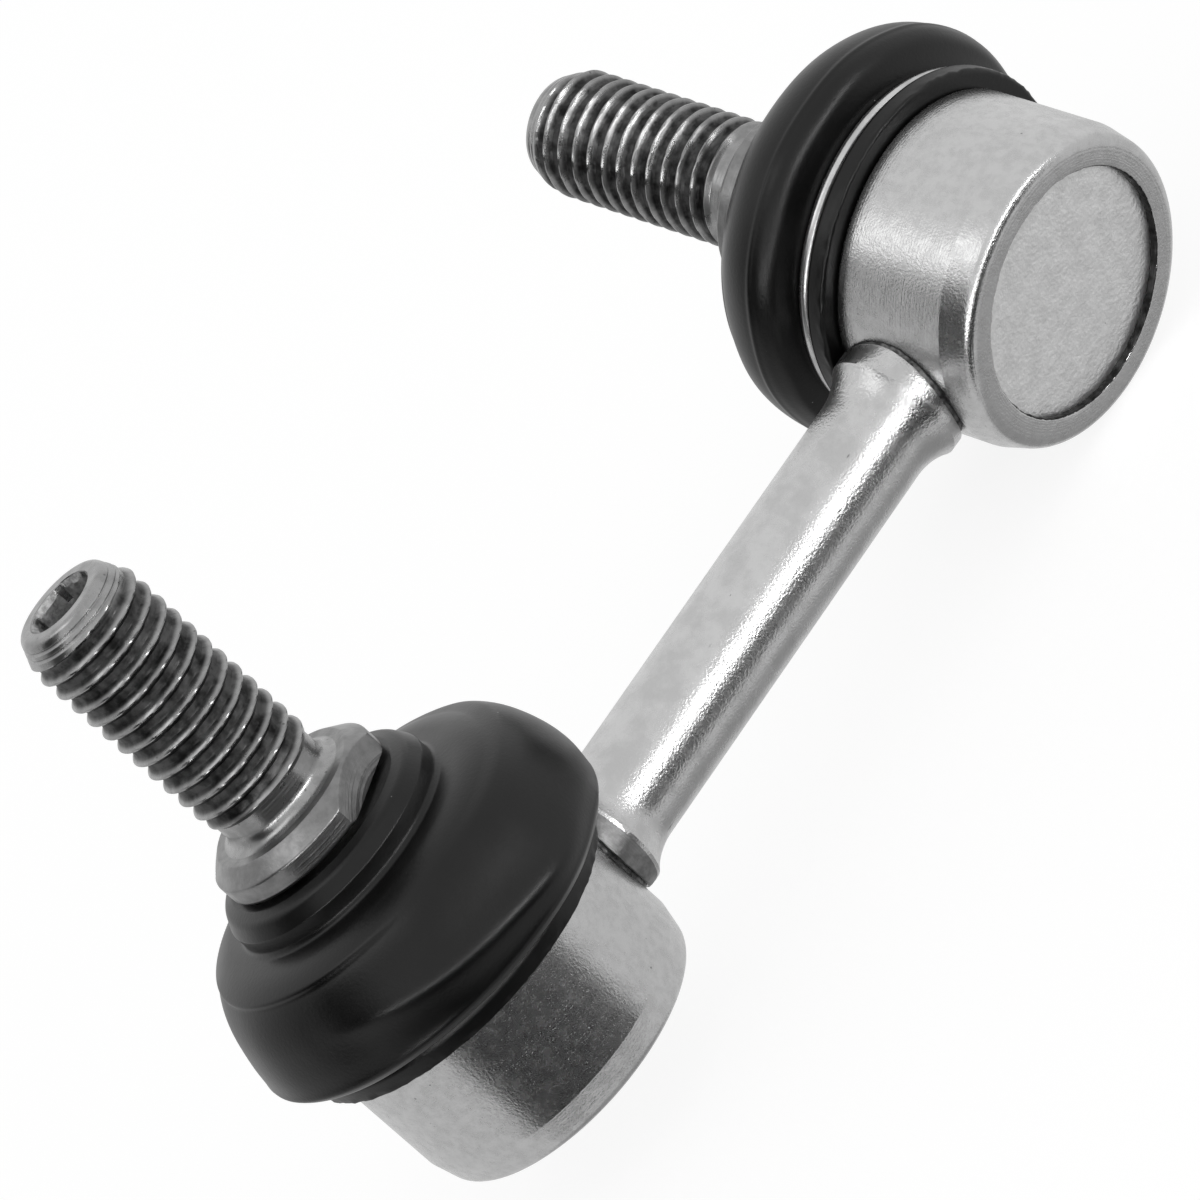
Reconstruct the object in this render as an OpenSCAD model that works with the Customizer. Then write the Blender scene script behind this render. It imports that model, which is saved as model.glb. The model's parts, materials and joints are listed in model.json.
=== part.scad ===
// Stabilizer link: a short rod with a ball joint welded across each end.
// Frame: the origin is the centre of the lower stud's seat face, +Z runs along the lower stud to its tip,
// and +X runs along the rod to the upper joint. Each joint is drawn at the lower end, and the upper one
// is moved along the rod and turned about it.

/* [Link] */
// Distance between the two joint axes
span = 67; // [56:1:120]
// Turn of the upper joint about the rod
twist = 62.5; // [0:0.5:180]
// Diameter of the rod
rod_d = 8.6; // [6:0.1:10]
// Width of the flare round each rod foot, beyond the rod
foot_w = 1; // [0.6:0.1:2]
// Radius of the flare
flare_r = 5.5; // [4:0.5:14]
// Straight edge of each foot
foot_edge = 0.9; // [0.3:0.1:1.5]
// Thickness of the weld seam under each foot
seam_h = 0.6; // [0.3:0.1:1]
// Step of the weld seam inside the foot's edge
seam_step = 0.3; // [0.1:0.05:0.6]
// Rod axis above the rear rim of the housing
rod_rise = 7.9; // [7:0.1:9]

/* [Housing] */
// Wall of the bore's spigot, which carries the boot
spigot_wall = 1.2; // [0.9:0.1:1.6]
// Height of the spigot
spigot_h = 3.8; // [3.4:0.1:4.5]
// Step from the spigot out to the barrel
barrel_step = 1.2; // [0.8:0.1:2]
// Thickness of the shoulder that holds the seat in
shoulder_h = 1.7; // [1.2:0.1:2.4]
// Height of the bevel at the crimped rear edge
bevel_h = 2.2; // [1.2:0.1:3]
// Width of the bevel
bevel_w = 0.6; // [0.3:0.1:1]
// Height of the rounded crest of the rim
crest_h = 0.45; // [0.3:0.05:0.6]
// Overlap of the crimped rim on the end cap
crimp_w = 0.5; // [0.3:0.1:0.9]

/* [End cap] */
// Depth of the cap's face below the rim
cap_recess = 0.7; // [0.6:0.05:1]
// Thickness of the cap
cap_h = 1.5; // [1:0.1:2.2]

/* [Ball and seat] */
// Diameter of the ball
ball_d = 14; // [13:0.5:17]
// Radial wall of the seat beside the ball
seat_wall = 3; // [2:0.1:4]
// Thickness of the seat under the ball
seat_floor = 1.2; // [0.8:0.1:2]
// Lead of the seat's mouth, from the ball to the shoulder
seat_lead = 1.3; // [1:0.1:2]
// Number of slots that let the seat's mouth spring over the ball
slot_count = 6; // [4:1:8]
// Width of a slot
slot_w = 0.8; // [0.5:0.1:1.2]
// Running clearance between ball and seat, and of the other sliding fits
run_clear = 0.05; // [0.02:0.01:0.1]
// Largest swing of the stud about one axis
swing = 18; // [10:1:18]

/* [Stud] */
// Diameter of the neck above the ball
neck_d = 8.6; // [7:0.1:9]
// Diameter of the journal that turns in the boot
journal_d = 11; // [10:0.1:12]
// Length of the journal
journal_l = 4; // [3.5:0.1:5]
// Length of the taper from neck to journal
taper_l = 2.4; // [1:0.1:3]
// Collar width across its two flats
collar_af = 13; // [12.5:0.5:14.5]
// Turn of the flats from the rod's direction
flats_turn = 120; // [0:5:175]
// Turned diameter of the collar
collar_d = 14.5; // [13.5:0.1:17]
// Thickness of the collar
collar_h = 2.75; // [2.4:0.05:5]
// Height of the bevel at the top of the collar
collar_bevel_h = 1.1; // [0.6:0.1:1.8]
// Width of the flat seat face, measured from the shank's fillet
seat_face_w = 0.7; // [0.5:0.1:1]
// Length of the stud above its seat face
stud_l = 21.85; // [15:0.05:30]
// Major diameter of the thread
thread_d = 9.9; // [9:0.1:10.5]
// Diameter of the plain shank below the thread
shank_d = 9.2; // [8.5:0.1:9.8]
// Length of the plain shank
shank_l = 2.65; // [1.8:0.05:4]
// Fillet between shank and seat face
shank_fillet = 1; // [0.3:0.1:1.2]
// Diameter of the tip face
tip_d = 7.5; // [6.5:0.1:8.5]
// Length of the tapered point
tip_taper = 2.4; // [1:0.1:4]
// Width across flats of the key socket in the tip
key_af = 5; // [4:0.5:5]
// Depth of the key socket
key_depth = 4.5; // [3:0.5:7]

/* [Boot] */
// Height of the boot above the housing's shoulder
boot_h = 13.9; // [12.5:0.1:17]
// Rubber wall
boot_wall = 1.6; // [1.2:0.1:2]
// Wall of the base lip
lip_wall = 2.6; // [2:0.1:3]
// Height of the base lip
lip_h = 1.8; // [1.4:0.1:2.2]
// Width of the dome, outwards from the spigot
dome_w = 4.9; // [4.5:0.1:6]
// Height of the dome's widest ring above the shoulder
dome_rise = 4.8; // [4.5:0.1:5.5]
// Radius of the fold below the widest ring
fold_r = 1.9; // [1.2:0.1:2]
// Wall of the neck collar
neck_wall = 3.65; // [3:0.05:4.5]
// Height of the neck collar
neck_h = 2.1; // [1.8:0.1:2.6]
// Height of the groove below the neck collar
groove_h = 1; // [0.6:0.1:1.2]
// Depth of that groove
groove_w = 0.5; // [0.2:0.1:0.9]
// Gap between the boot's neck and the stud's collar
neck_gap = 0.3; // [0.3:0.05:0.6]

/* [Rings] */
// Wire diameter of the ring that holds the boot's base
wire_d = 1; // [0.7:0.1:1.2]
// Depth of that wire below the lip
wire_sink = 0.9; // [0.7:0.1:1.1]
// Radial width of the ring inside the boot's neck
ring_w = 1.5; // [1:0.1:1.8]
// Height of the ring inside the boot's neck
ring_h = 1.4; // [1:0.1:1.6]

/* [Hidden] */
$fn = 96;
arc_steps = 10;
cut = 1;

// Radii
ball_r = ball_d / 2;
cup_r = ball_r + run_clear;
neck_r = neck_d / 2;
bore_r = cup_r + seat_wall;
spigot_r = bore_r + spigot_wall;
barrel_r = spigot_r + barrel_step;
rim_r = barrel_r - bevel_w;
crimp_r = bore_r - crimp_w;
rod_r = rod_d / 2;
foot_r = rod_r + foot_w;
journal_r = journal_d / 2;
thread_r = thread_d / 2;
shank_r = shank_d / 2;
seat_face_r = shank_r + shank_fillet + seat_face_w;

// Ends of the flare of a rod foot, measured from the joint's axis
foot_x = barrel_r + seam_h + foot_edge;
flare_a = acos(1 - foot_w / flare_r);
flare_x = foot_x + flare_r * sin(flare_a);

// Largest lean of the stud, with both swings at their ends
lean = acos(cos(swing) * cos(swing));

// Heights above the housing's rear rim, from the cap up to the stud's tip
cap_top = cap_recess + cap_h;
ball_h = cap_top + seat_floor + cup_r;
grip_margin = 3;
grip_angle = asin(neck_r / ball_r) + lean + grip_margin;
grip_h = ball_h + cup_r * cos(grip_angle);
grip_r = cup_r * sin(grip_angle);
shoulder_z = grip_h + seat_lead;
front_h = shoulder_z + shoulder_h;
barrel_h = front_h - spigot_h;
neck_top = barrel_h + boot_h;
collar_low = neck_top + neck_gap;
seat_z = collar_low + collar_h;

// Mouth of the housing, clear of the neck at the largest lean
mouth_clear = 0.45;
mouth_r = (front_h - ball_h) * tan(lean) + neck_r / cos(lean) + mouth_clear;

// Boot and rings, by height above the housing's shoulder
boot_bore_r = spigot_r + run_clear;
lip_r = spigot_r + lip_wall;
dome_r = spigot_r + dome_w;
boot_neck_bore_r = journal_r + run_clear;
boot_neck_r = boot_neck_bore_r + neck_wall;
dome_inset = 1;
dome_axis_r = boot_neck_r + dome_inset;
dome_rx = dome_r - dome_axis_r;
dome_ry = boot_h - neck_h - groove_h - dome_rise;
wire_r = lip_r - wire_sink;
wire_h = lip_h + wire_d / 2 + 2 * run_clear;
ring_mid_r = boot_neck_bore_r + neck_wall / 2;
ring_low = boot_h - neck_h / 2 - ring_h / 2;

// Points of an elliptical arc about a centre, from one angle to another
function arc(c, rx, ry, from, to) =
    [for (i = [0 : arc_steps])
        let (a = from + (to - from) * i / arc_steps)
        [c.x + rx * cos(a), c.y + ry * sin(a)]];

// Puts children that are measured from the rear rim into the part's frame
module from_rim() {
    translate([0, 0, -seat_z]) children();
}

// Puts children that are measured from the housing's shoulder into the part's frame
module from_shoulder() {
    translate([0, 0, barrel_h - seat_z]) children();
}

// Carries a joint from the lower end of the rod to the upper end
module at_upper() {
    translate([span, 0, rod_rise - seat_z])
        rotate([-twist, 0, 0])
            translate([0, 0, seat_z - rod_rise])
                children();
}

// Turns a profile drawn against the rod's axis, so that it runs along +X
module along_rod() {
    translate([0, 0, rod_rise - seat_z]) rotate([0, 90, 0]) children();
}

// Turned cup with a crimped rear rim, a bore for the seat and a spigot for the boot
module housing() {
    edge = 0.3;
    from_rim() rotate_extrude()
        polygon(concat(
            [[crimp_r, cap_recess], [crimp_r, crest_h]],
            arc([crimp_r + crest_h, crest_h], crest_h, crest_h, 180, 270),
            arc([rim_r - crest_h, crest_h], crest_h, crest_h, 270, 360),
            [[barrel_r, crest_h + bevel_h],
             [barrel_r, barrel_h - edge], [barrel_r - edge, barrel_h],
             [spigot_r, barrel_h], [spigot_r, front_h - edge], [spigot_r - edge, front_h],
             [mouth_r, front_h], [mouth_r, shoulder_z],
             [bore_r, shoulder_z], [bore_r, cap_recess]]));
}

// Plain steel disc held in the rear of the housing by its crimped rim
module end_cap() {
    edge = 0.25;
    cap_r = bore_r - run_clear;
    from_rim() rotate_extrude()
        polygon([[0, cap_recess], [cap_r - edge, cap_recess], [cap_r, cap_recess + edge],
                 [cap_r, cap_top], [0, cap_top]]);
}

// Moulded bearing shell that wraps the ball past its middle
module ball_seat() {
    shell_r = bore_r - run_clear;
    overlap = 0.001;
    from_rim() difference() {
        translate([0, 0, cap_top]) cylinder(h = shoulder_z - cap_top, r = shell_r);
        translate([0, 0, ball_h]) sphere(r = cup_r);
        translate([0, 0, grip_h])
            cylinder(h = seat_lead + overlap, r1 = grip_r, r2 = mouth_r - seat_lead / 4);
        for (i = [0 : slot_count - 1])
            rotate([0, 0, i * 360 / slot_count])
                translate([0, -slot_w / 2, ball_h])
                    cube([cup_r + seat_wall / 2, slot_w, shoulder_z - ball_h + cut]);
    }
}

// Turned outline of the stud, from the ball's neck to its point
module stud_turning() {
    neck_root = 0.5;
    neck_h = ball_h + sqrt(ball_r * ball_r - neck_r * neck_r) - neck_root;
    journal_h = collar_low - journal_l;
    fillet_axis = [shank_r + shank_fillet, seat_z + shank_fillet];
    thread_h = seat_z + shank_l;
    tip_h = seat_z + stud_l;
    rotate_extrude()
        polygon(concat(
            [[0, neck_h], [neck_r, neck_h], [neck_r, journal_h - taper_l],
             [journal_r, journal_h], [journal_r, collar_low + cut],
             [shank_r + shank_fillet, collar_low + cut]],
            arc(fillet_axis, shank_fillet, shank_fillet, 270, 180),
            [[shank_r, thread_h - (thread_r - shank_r)], [thread_r, thread_h],
             [thread_r, tip_h - tip_taper], [tip_d / 2, tip_h], [0, tip_h]]));
}

// Turned collar with two flats for a spanner, bevelled at the top to the seat face
module stud_collar() {
    edge = 0.3;
    turned_r = collar_d / 2;
    intersection() {
        rotate([0, 0, flats_turn])
            translate([-collar_af / 2, -collar_d, collar_low])
                cube([collar_af, 2 * collar_d, collar_h]);
        rotate_extrude()
            polygon([[0, collar_low], [turned_r - edge, collar_low], [turned_r, collar_low + edge],
                     [turned_r, seat_z - collar_bevel_h], [seat_face_r, seat_z], [0, seat_z]]);
    }
}

// One-piece ball stud with a flatted collar and a key socket in its tip
module ball_stud() {
    key_r = key_af / sqrt(3);
    tip_h = seat_z + stud_l;
    from_rim() difference() {
        union() {
            translate([0, 0, ball_h]) sphere(r = ball_r);
            stud_turning();
            stud_collar();
        }
        translate([0, 0, tip_h - key_depth]) cylinder(h = key_depth + cut, r = key_r, $fn = 6);
    }
}

// Rubber boot, with a base lip on the spigot, a wire groove, a dome and a neck on the journal
module boot() {
    fold_axis = [dome_r - fold_r, dome_rise];
    groove_r = boot_neck_r - groove_w;
    groove_low = boot_h - neck_h - groove_h;
    round_r = 0.5;
    inner_rx = dome_rx - boot_wall;
    inner_ry = dome_ry - boot_wall;
    spigot_gap = 0.3;
    spigot_top = spigot_h + spigot_gap;
    difference() {
        from_shoulder() rotate_extrude()
            polygon(concat(
                [[boot_bore_r, run_clear]],
                arc([lip_r - round_r, run_clear + round_r], round_r, round_r, 270, 360),
                arc([lip_r - round_r, lip_h - round_r], round_r, round_r, 0, 90),
                [[wire_r, lip_h], [wire_r, dome_rise - fold_r]],
                arc(fold_axis, fold_r, fold_r, 270, 360),
                arc([dome_axis_r, dome_rise], dome_rx, dome_ry, 5, 82),
                [[groove_r, groove_low + groove_h / 2]],
                arc([boot_neck_r - round_r, boot_h - neck_h + round_r], round_r, round_r, 300, 360),
                arc([boot_neck_r - round_r, boot_h - round_r], round_r, round_r, 0, 90),
                [[boot_neck_bore_r, boot_h], [boot_neck_bore_r, groove_low]],
                arc([dome_axis_r, dome_rise], inner_rx, inner_ry, 85, 0),
                [[boot_bore_r, spigot_top]]));
        base_wire(run_clear);
        neck_insert(run_clear);
    }
}

// Round wire ring in the groove above the boot's base lip, larger by a clearance
module base_wire(clear) {
    from_shoulder() rotate_extrude()
        translate([wire_r, wire_h]) circle(d = wire_d + 2 * clear);
}

// Flat steel ring moulded into the boot's neck, larger by a clearance
module neck_insert(clear) {
    from_shoulder() rotate_extrude()
        translate([ring_mid_r - ring_w / 2 - clear, ring_low - clear])
            square([ring_w + 2 * clear, ring_h + 2 * clear]);
}

// Weld metal between the barrel and a rod foot, saddle-shaped
module weld_seam(side) {
    seam_r = foot_r - seam_step;
    intersection() {
        from_rim() difference() {
            cylinder(h = barrel_h, r = barrel_r + seam_h);
            translate([0, 0, -cut]) cylinder(h = barrel_h + 2 * cut, r = barrel_r);
        }
        along_rod() translate([0, 0, side > 0 ? 0 : -2 * barrel_r])
            cylinder(h = 2 * barrel_r, r = seam_r);
    }
}

// Round bar whose ends flare into saddle-shaped feet, flat on the side of the boot
module link_rod() {
    flare_axis_r = rod_r + flare_r;
    color("gainsboro") difference() {
        along_rod() rotate_extrude()
            polygon(concat(
                [[0, 0], [foot_r, 0]],
                arc([flare_axis_r, flare_x], flare_r, flare_r, 180 + flare_a, 180),
                arc([flare_axis_r, span - flare_x], flare_r, flare_r, 180, 180 - flare_a),
                [[foot_r, span], [0, span]]));
        saddle();
        at_upper() saddle();
    }
}

// Space of a barrel and its weld seam, and of the boot above them, which shapes the rod's feet
module saddle() {
    from_rim() translate([0, 0, -barrel_r])
        cylinder(h = front_h + 2 * barrel_r, r = barrel_r + seam_h);
    from_shoulder() cylinder(h = boot_h, r = flare_x);
}

module lower_housing() { color("silver") housing(); }
module lower_end_cap() { color("lightgray") end_cap(); }
module lower_ball_seat() { color("ivory") ball_seat(); }
module lower_ball_stud() { color("dimgray") ball_stud(); }
module lower_boot() { color("black") boot(); }
module lower_base_ring() { color("whitesmoke") base_wire(0); }
module lower_neck_ring() { color("slategray") neck_insert(0); }
module lower_weld_seam() { color("gray") weld_seam(1); }
module upper_housing() { color("silver") at_upper() housing(); }
module upper_end_cap() { color("lightgray") at_upper() end_cap(); }
module upper_ball_seat() { color("ivory") at_upper() ball_seat(); }
module upper_ball_stud() { color("dimgray") at_upper() ball_stud(); }
module upper_boot() { color("black") at_upper() boot(); }
module upper_base_ring() { color("whitesmoke") at_upper() base_wire(0); }
module upper_neck_ring() { color("slategray") at_upper() neck_insert(0); }
module upper_weld_seam() { color("gray") at_upper() weld_seam(-1); }

link_rod();
lower_housing();
lower_end_cap();
lower_ball_seat();
lower_ball_stud();
lower_boot();
lower_base_ring();
lower_neck_ring();
lower_weld_seam();
upper_housing();
upper_end_cap();
upper_ball_seat();
upper_ball_stud();
upper_boot();
upper_base_ring();
upper_neck_ring();
upper_weld_seam();
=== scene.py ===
"""Looks of a stabilizer link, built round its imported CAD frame.

A short drawn bar has a ball joint welded across each end. Each joint is a turned and crimped
housing, a ball stud with a rolled thread, and a rubber boot held by a wire ring. Every piece of a
joint is built at the lower end and carried to its own end by that end's matrix.
"""

import json
import logging
import math
from collections.abc import Callable
from collections.abc import Sequence
from dataclasses import dataclass
from dataclasses import field
from enum import Enum

import bpy
from mathutils import Euler
from mathutils import Matrix
from mathutils import Vector
from mathutils import noise

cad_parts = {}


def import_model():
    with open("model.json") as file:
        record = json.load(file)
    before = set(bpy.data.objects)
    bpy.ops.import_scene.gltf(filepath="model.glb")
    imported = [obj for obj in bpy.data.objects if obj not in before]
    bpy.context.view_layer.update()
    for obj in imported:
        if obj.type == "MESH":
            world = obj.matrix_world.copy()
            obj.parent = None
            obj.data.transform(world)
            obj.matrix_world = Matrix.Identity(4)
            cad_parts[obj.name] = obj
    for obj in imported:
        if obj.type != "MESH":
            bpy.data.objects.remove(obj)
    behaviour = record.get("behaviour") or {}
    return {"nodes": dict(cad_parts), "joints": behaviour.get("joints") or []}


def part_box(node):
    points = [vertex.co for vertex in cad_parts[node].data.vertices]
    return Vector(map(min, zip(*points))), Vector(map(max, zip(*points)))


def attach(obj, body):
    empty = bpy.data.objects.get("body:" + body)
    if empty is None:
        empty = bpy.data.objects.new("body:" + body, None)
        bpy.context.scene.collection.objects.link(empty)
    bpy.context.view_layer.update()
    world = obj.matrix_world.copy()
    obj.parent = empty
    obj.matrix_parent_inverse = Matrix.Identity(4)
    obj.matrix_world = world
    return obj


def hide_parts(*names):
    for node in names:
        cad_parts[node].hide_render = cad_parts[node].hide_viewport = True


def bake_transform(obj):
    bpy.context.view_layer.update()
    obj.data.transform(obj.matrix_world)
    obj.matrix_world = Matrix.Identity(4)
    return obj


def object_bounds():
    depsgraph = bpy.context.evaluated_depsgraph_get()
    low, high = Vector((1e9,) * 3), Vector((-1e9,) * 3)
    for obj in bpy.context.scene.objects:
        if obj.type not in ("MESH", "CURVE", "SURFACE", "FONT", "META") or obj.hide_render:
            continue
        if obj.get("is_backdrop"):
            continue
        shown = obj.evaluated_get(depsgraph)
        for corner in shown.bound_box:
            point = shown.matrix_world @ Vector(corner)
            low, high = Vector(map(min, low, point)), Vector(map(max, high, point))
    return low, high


LOG = logging.getLogger("stabilizer_link")
MM = 0.001
# Longest chord of a rounding, in millimetres, so that gloss shows no bands on it.
LONGEST_CHORD = 0.2
# Share of a straight run that the rounding at one end of it may take up.
LONGEST_ROUNDING = 0.98
# Angles in degrees above which an edge stays sharp, on turned pieces, on studs, on the bar and on welds.
TURNED_CREASE = 28
STUD_CREASE = 24
BAR_CREASE = 32
WELD_CREASE = 60

Point2 = tuple[float, float]
Corner = tuple[float, float, float]
Loop = list[Vector]
Output = tuple[bpy.types.Node, int | str]


class End(Enum):
    """The two ends of the link."""

    LOWER = "lower"
    UPPER = "upper"


class Lay(Enum):
    """Direction of the fine lines that the making of a steel piece leaves on it."""

    NONE = "none"
    ROUND = "round"
    ALONG = "along"
    ACROSS = "across"


def linear(code: str) -> tuple[float, float, float, float]:
    """Turns an sRGB hex colour into linear RGBA.

    Args:
        code: The colour as "#rrggbb".

    Returns:
        Linear red, green, blue and an alpha of 1.
    """
    values = [int(code[i : i + 2], 16) / 255 for i in (1, 3, 5)]
    red, green, blue = [v / 12.92 if v <= 0.04045 else ((v + 0.055) / 1.055) ** 2.4 for v in values]
    return red, green, blue, 1.0


def ease(value: float, start: float, end: float) -> float:
    """A smooth rise from 0 at the start to 1 at the end."""
    share = min(1.0, max(0.0, (value - start) / (end - start)))
    return share * share * (3 - 2 * share)


def add_node(
    tree: bpy.types.NodeTree, kind: str, inputs: dict | None = None, **settings: object
) -> bpy.types.Node:
    """Adds a node to a tree, with its settings, constants and links.

    Args:
        tree: The node tree of a material, the world or a Geometry Nodes group.
        kind: Blender's name of the node type.
        inputs: For each input, by its name or number, a constant or a pair of a node and its output.
        **settings: Properties of the node itself.

    Returns:
        The new node.
    """
    made = tree.nodes.new(kind)
    for name, value in settings.items():
        setattr(made, name, value)
    for key, value in (inputs or {}).items():
        if isinstance(value, tuple) and isinstance(value[0], bpy.types.Node):
            source, output = value
            tree.links.new(source.outputs[output], made.inputs[key])
        else:
            made.inputs[key].default_value = value
    return made


@dataclass(frozen=True)
class JointPlace:
    """Where one ball joint stands in the frame."""

    end: End
    ball: Vector
    matrix: Matrix
    turn: float
    shift: Vector

    def node(self, name: str) -> str:
        """Name of one of this end's CAD nodes or bodies."""
        return f"{self.end.value}_{name}"

    @classmethod
    def from_record(cls, end: End, joints: Sequence[dict]) -> "JointPlace":
        """Reads an end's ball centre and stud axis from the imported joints.

        Args:
            end: Which end of the link.
            joints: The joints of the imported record.

        Returns:
            The place, whose matrix carries a piece from the lower end to this one.
        """
        spins = {j["name"]: j for j in joints}
        lower = spins[f"{End.LOWER.value}_stud_spin"]
        here = spins[f"{end.value}_stud_spin"]
        _, across, up = here["axis"]
        turn = math.atan2(across, up)
        start = Vector(lower["pos_m"])
        ball = Vector(here["pos_m"])
        matrix = Matrix.Translation(ball) @ Matrix.Rotation(-turn, 4, "X") @ Matrix.Translation(-start)
        shift = start - Matrix.Rotation(turn, 3, "X") @ ball
        return cls(end, ball, matrix, turn, shift)


def rounded(corners: Sequence[Corner], steps: int = 7) -> list[Point2]:
    """Rounds the corners of an outline.

    Args:
        corners: Radius, height and rounding of each corner, in millimetres.
        steps: Least number of chords in a rounding.

    Returns:
        The outline's points, radius and height.
    """
    points: list[Point2] = []
    last = len(corners) - 1
    for i, (x, y, size) in enumerate(corners):
        here = Vector((x, y))
        if size <= 0 or i in (0, last):
            points.append((x, y))
            continue
        before = Vector(corners[i - 1][:2]) - here
        after = Vector(corners[i + 1][:2]) - here
        half = before.angle(after) / 2
        room = LONGEST_ROUNDING * min(before.length, after.length)
        reach = min(size / math.tan(half), room)
        radius = reach * math.tan(half)
        first = here + before.normalized() * reach
        bisector = (before.normalized() + after.normalized()).normalized()
        centre = here + bisector * (radius / math.sin(half))
        spoke = first - centre
        sweep = math.pi - 2 * half
        side = 1.0 if before.cross(after) < 0 else -1.0
        count = max(steps, math.ceil(radius * sweep / LONGEST_CHORD))
        for k in range(count + 1):
            a = side * sweep * k / count
            turned = Vector((
                spoke.x * math.cos(a) - spoke.y * math.sin(a),
                spoke.x * math.sin(a) + spoke.y * math.cos(a),
            ))
            points.append(tuple(centre + turned))
    return points


def finer(points: Sequence[Point2], longest: float) -> list[Point2]:
    """Splits the long chords of an outline.

    Args:
        points: The outline.
        longest: Longest chord to leave, in millimetres.

    Returns:
        The outline with points added on its straight runs.
    """
    made: list[Point2] = [points[0]]
    for (ax, ay), (bx, by) in zip(points, points[1:]):
        pieces = max(1, math.ceil(math.hypot(bx - ax, by - ay) / longest))
        for k in range(1, pieces + 1):
            made.append((ax + (bx - ax) * k / pieces, ay + (by - ay) * k / pieces))
    return made


def circle(radius: float, height: float, sides: int) -> Loop:
    """A level ring of points about the stud's axis."""
    angles = (2 * math.pi * k / sides for k in range(sides))
    return [Vector((radius * math.cos(a), radius * math.sin(a), height)) for a in angles]


def put(name: str, data: bpy.types.ID) -> bpy.types.Object:
    """Puts a mesh, a lamp or a camera in the scene as an object at the origin.

    Args:
        name: Name of the object.
        data: The mesh, lamp or camera.

    Returns:
        The object.
    """
    made = bpy.data.objects.new(name, data)
    bpy.context.scene.collection.objects.link(made)
    return made


def emptied(owner: bpy.types.Material | bpy.types.World) -> bpy.types.NodeTree:
    """The node tree of a material or a world, with nothing in it.

    Args:
        owner: The material or world.

    Returns:
        Its tree.
    """
    owner.use_nodes = True
    owner.node_tree.nodes.clear()
    return owner.node_tree


def smooth(mesh: bpy.types.Mesh, crease: float) -> None:
    """Shades a mesh smooth, with edges sharp above an angle in degrees."""
    mesh.shade_smooth()
    mesh.set_sharp_from_angle(angle=math.radians(crease))


def skin(name: str, loops: Sequence[Loop], matrix: Matrix, ring: bool, crease: float) -> bpy.types.Object:
    """Makes a mesh from loops of points in millimetres.

    Args:
        name: Name of the piece.
        loops: Loops with the same number of points, or with one point for a pole.
        matrix: Carries the piece to its end of the link.
        ring: True where the last loop joins the first.
        crease: Angle in degrees above which an edge stays sharp.

    Returns:
        The piece, at the origin, with its place in its mesh.
    """
    starts = []
    points: list[Vector] = []
    for loop in loops:
        starts.append(len(points))
        points.extend(matrix @ (p * MM) for p in loop)
    faces: list[tuple[int, ...]] = []
    count = len(loops)
    for i in range(count if ring else count - 1):
        n = (i + 1) % count
        a, b = starts[i], starts[n]
        sides = max(len(loops[i]), len(loops[n]))
        for j in range(sides):
            k = (j + 1) % sides
            if len(loops[i]) == 1:
                faces.append((a, b + k, b + j))
            elif len(loops[n]) == 1:
                faces.append((a + j, a + k, b))
            else:
                faces.append((a + j, a + k, b + k, b + j))
    mesh = bpy.data.meshes.new(name)
    mesh.from_pydata(points, [], faces)
    smooth(mesh, crease)
    return put(name, mesh)


def lathe(
    name: str,
    outline: Sequence[Point2],
    place: JointPlace,
    shape: Callable[[Vector], Vector],
    sides: int = 192,
) -> bpy.types.Object:
    """Turns a closed outline about the stud's axis.

    Args:
        name: Name of the piece.
        outline: Radius and height of each point, outwards below and upwards outside.
        place: The end of the link that the piece belongs to.
        shape: Moves a point of the turned shape, in millimetres.
        sides: Number of sides of the turned shape.

    Returns:
        The piece.
    """
    loops = [[shape(p) for p in circle(r, h, sides)] for r, h in outline]
    return skin(name, loops, place.matrix, ring=True, crease=TURNED_CREASE)


def dress(obj: bpy.types.Object, *materials: bpy.types.Material) -> None:
    """Gives a piece its materials, in place of any it has.

    Args:
        obj: The piece.
        *materials: Its materials, in the order of its faces' indices.
    """
    obj.data.materials.clear()
    for material in materials:
        obj.data.materials.append(material)


@dataclass(frozen=True)
class Spots:
    """Small spots scattered over a surface, such as pits or dust."""

    shade: str
    spacing_mm: float
    size_mm: float
    stretch: float = 1.0
    strength: float = 0.8
    fade: str = "SMOOTHSTEP"


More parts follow.
